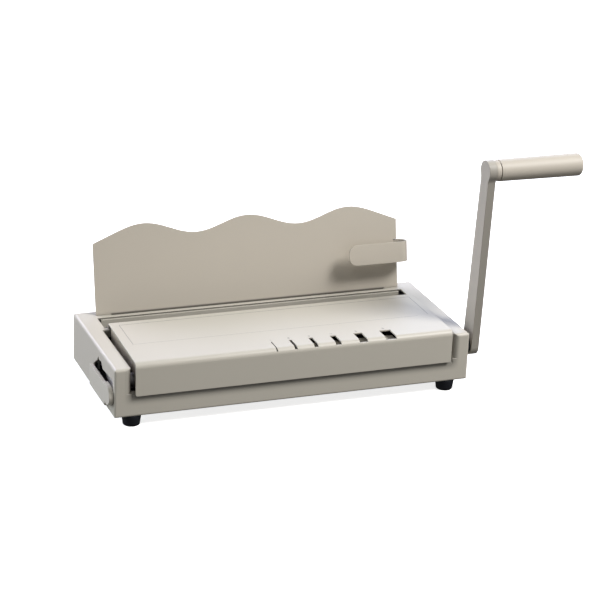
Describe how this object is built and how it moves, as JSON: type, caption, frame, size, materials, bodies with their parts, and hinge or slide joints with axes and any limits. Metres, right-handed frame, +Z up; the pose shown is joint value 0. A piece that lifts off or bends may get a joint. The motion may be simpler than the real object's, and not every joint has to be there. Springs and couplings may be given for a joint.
{
  "type": "binding_machine",
  "caption": "Desk press for metal binding channels: beige sheet-steel housing, fixed top cover with gauge slots, wavy back plate with a side clip, and a side lever that drives a hidden jaw.",
  "frame": {"origin": "The middle of the part's bounding box in plan, on the desk surface.", "axes": "+X along the document slot from the drawer side to the lever side; +Y from the front of the machine to its back plate; +Z up from the desk"},
  "size_m": [0.499, 0.166, 0.2469],
  "materials": {
    "paint_beige": "warm beige-grey baked enamel with a fine texture, semi-matt",
    "plate_beige": "the same enamel a shade browner, semi-matt",
    "frame_grey": "plain mid-grey primer",
    "steel_bright": "ground steel, lightly oiled",
    "steel_dark": "blackened steel",
    "zinc": "zinc-plated fasteners",
    "brass": "turned sintered bush",
    "grip_plastic": "moulded beige plastic, satin",
    "foot_rubber": "black moulded rubber"
  },
  "bodies": {
    "machine": {"housing": "paint_beige", "base_plate": "frame_grey", "feet": "foot_rubber", "foot_screws": "zinc", "top_cover": "paint_beige", "gauge_stop": "paint_beige", "cover_studs": "zinc", "cover_bracket_left": "paint_beige", "cover_bracket_right": "paint_beige", "bracket_screws": "zinc", "side_frame_left": "frame_grey", "side_frame_right": "frame_grey", "frame_screws": "zinc", "shaft_bushes": "brass", "rear_beam": "steel_bright", "beam_screws": "zinc", "fixed_jaw": "paint_beige", "rear_screws": "zinc", "spine_ledge": "steel_bright", "ledge_screws": "zinc", "jaw_rail_left": "steel_dark", "jaw_rail_right": "steel_dark", "rail_screws": "zinc", "back_plate": "plate_beige", "side_clip": "plate_beige", "clip_rivets": "zinc", "drawer_runner": "steel_bright", "runner_screws": "zinc"},
    "lever": {"main_shaft": "steel_bright", "cam_left": "steel_dark", "cam_right": "steel_dark", "cam_pins": "zinc", "shaft_rings": "zinc", "lever_hub": "steel_dark", "lever_arm": "paint_beige", "lever_screw": "zinc", "grip_collar": "paint_beige", "grip_spindle": "steel_bright", "grip_screw": "zinc"},
    "grip": {"grip_sleeve": "grip_plastic", "grip_cap": "grip_plastic"},
    "jaw": {"push_plate": "steel_bright", "follower_blocks": "steel_dark", "follower_screws": "zinc", "moving_jaw": "steel_dark", "jaw_screws": "zinc"},
    "drawer": {"drawer_tray": "steel_bright", "pull_tab": "paint_beige", "tab_screws": "zinc"}
  },
  "joints": [
    {"name": "lever_swing", "type": "hinge", "parent": "machine", "child": "lever", "pos_m": [0.1472, -0.05884, 0.042], "axis": [1, 0, 0], "range_deg": [0, 85]},
    {"name": "grip_spin", "type": "hinge", "parent": "lever", "child": "grip", "pos_m": [0.2012, -0.07134, 0.2352], "axis": [1, 0, 0], "continuous": true},
    {"name": "jaw_slide", "type": "slide", "parent": "machine", "child": "jaw", "axis": [0, 1, 0], "range_m": [0, 0.01402]},
    {"name": "drawer_slide", "type": "slide", "parent": "machine", "child": "drawer", "axis": [-1, 0, 0], "range_m": [0, 0.07]}
  ],
  "couplings": [
    {"joint": "jaw_slide", "follows": "lever_swing", "m_per_rad": 0.0094369}
  ]
}
